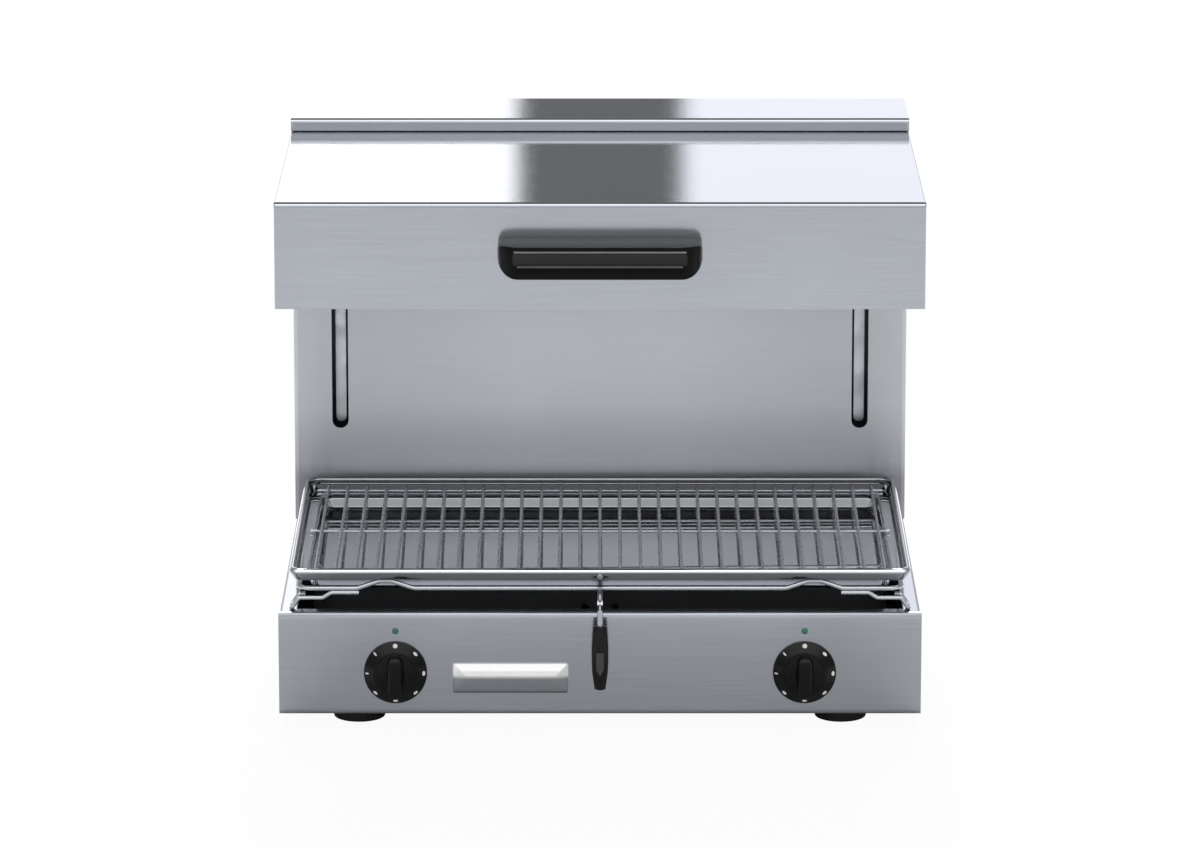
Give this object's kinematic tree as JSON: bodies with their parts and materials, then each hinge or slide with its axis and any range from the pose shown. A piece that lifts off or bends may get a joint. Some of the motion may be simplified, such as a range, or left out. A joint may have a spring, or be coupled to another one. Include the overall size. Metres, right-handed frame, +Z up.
{
  "type": "salamander grill",
  "caption": "Countertop electric salamander grill: a counterbalanced heating hood slides down a rear column over a wire grid and drip tray on an open base with knobs.",
  "frame": {"origin": "centre of the bounding box at the height of the feet's undersides", "axes": "+X to the viewer's right along the width, +Y from the front panel to the rear panel, +Z up"},
  "size_m": [0.6, 0.524, 0.518],
  "materials": {
    "brushed_steel": "fine horizontal brushed stainless",
    "plain_steel": "mill-finish stainless",
    "polished_steel": "mirror polished",
    "bright_wire": "bright drawn wire",
    "hidden_steel": "zinc plated",
    "fastener_steel": "plain",
    "element_sheath": "oxidised sheath, satin",
    "black_enamel": "satin black",
    "ceramic": "unglazed ceramic",
    "mineral_wool": "matted fibre",
    "black_gloss": "glossy",
    "black_matte": "satin",
    "regulator_case": "moulded phenolic",
    "lamp_green": "translucent green lens",
    "slide_nylon": "natural nylon",
    "wire_cover": "silicone sleeve",
    "foot_rubber": "matte"
  },
  "bodies": {
    "cabinet": {"base_front_panel": "brushed_steel", "base_left_side": "brushed_steel", "base_right_side": "brushed_steel", "column_front_panel": "brushed_steel", "column_left_side": "brushed_steel", "column_right_side": "brushed_steel", "column_cap": "brushed_steel", "base_floor": "plain_steel", "control_cover": "plain_steel", "rear_panel": "plain_steel", "badge_plate": "polished_steel", "rail_posts": "hidden_steel", "spring_anchors": "hidden_steel", "left_guide_rail": "hidden_steel", "right_guide_rail": "hidden_steel", "rear_panel_screws": "fastener_steel", "foot_bolts": "fastener_steel", "gland_locknut": "fastener_steel", "left_gas_cylinder": "black_enamel", "right_gas_cylinder": "black_enamel", "terminal_block": "ceramic", "cable_gland": "black_matte", "lamp_holders": "black_matte", "left_regulator": "regulator_case", "right_regulator": "regulator_case", "left_pilot_lamp": "lamp_green", "right_pilot_lamp": "lamp_green", "supply_wires": "wire_cover", "feet": "foot_rubber"},
    "hood": {"hood_shell": "brushed_steel", "hood_rear_plate": "brushed_steel", "reflector": "plain_steel", "insulation": "mineral_wool", "element_sleeves": "ceramic", "element_supports": "hidden_steel", "hood_handle": "black_gloss", "handle_screws": "fastener_steel", "guide_shoes": "slide_nylon", "carriage_tie": "hidden_steel", "left_element": "element_sheath", "right_element": "element_sheath", "left_lift_arm": "hidden_steel", "right_lift_arm": "hidden_steel", "left_gas_rod": "hidden_steel", "right_gas_rod": "hidden_steel"},
    "left_control": {"left_knob": "black_matte", "left_knob_shaft": "hidden_steel"},
    "right_control": {"right_knob": "black_matte", "right_knob_shaft": "hidden_steel"},
    "carrier": {"carrier_frame": "bright_wire", "carrier_legs": "bright_wire", "carrier_lug": "bright_wire", "grip_pin": "bright_wire"},
    "grip": {"grip_neck": "bright_wire", "carrier_grip": "black_matte"},
    "tray": {"drip_tray": "polished_steel", "tray_rivet": "polished_steel"},
    "grid": {"grid_bars": "bright_wire", "grid_cross_wires": "bright_wire"}
  },
  "joints": [
    {"name": "hood_slide", "type": "slide", "parent": "cabinet", "child": "hood", "axis": [0, 0, 1], "range_m": [-0.2, 0]},
    {"name": "left_control_turn", "type": "hinge", "parent": "cabinet", "child": "left_control", "pos_m": [-0.191, -0.218, 0.059], "axis": [0, 1, 0], "range_deg": [0, 315]},
    {"name": "right_control_turn", "type": "hinge", "parent": "cabinet", "child": "right_control", "pos_m": [0.191, -0.218, 0.059], "axis": [0, 1, 0], "range_deg": [0, 315]},
    {"name": "carrier_slide", "type": "slide", "parent": "cabinet", "child": "carrier", "axis": [0, -1, 0], "range_m": [0, 0.15]},
    {"name": "grip_swing", "type": "hinge", "parent": "carrier", "child": "grip", "pos_m": [0, -0.236, 0.1294], "axis": [-1, 0, 0], "range_deg": [0, 90]},
    {"name": "tray_lift", "type": "slide", "parent": "carrier", "child": "tray", "axis": [0, 0, 1], "range_m": [0, 0.02]},
    {"name": "grid_lift", "type": "slide", "parent": "tray", "child": "grid", "axis": [0, 0, 1], "range_m": [0, 0.02]}
  ]
}
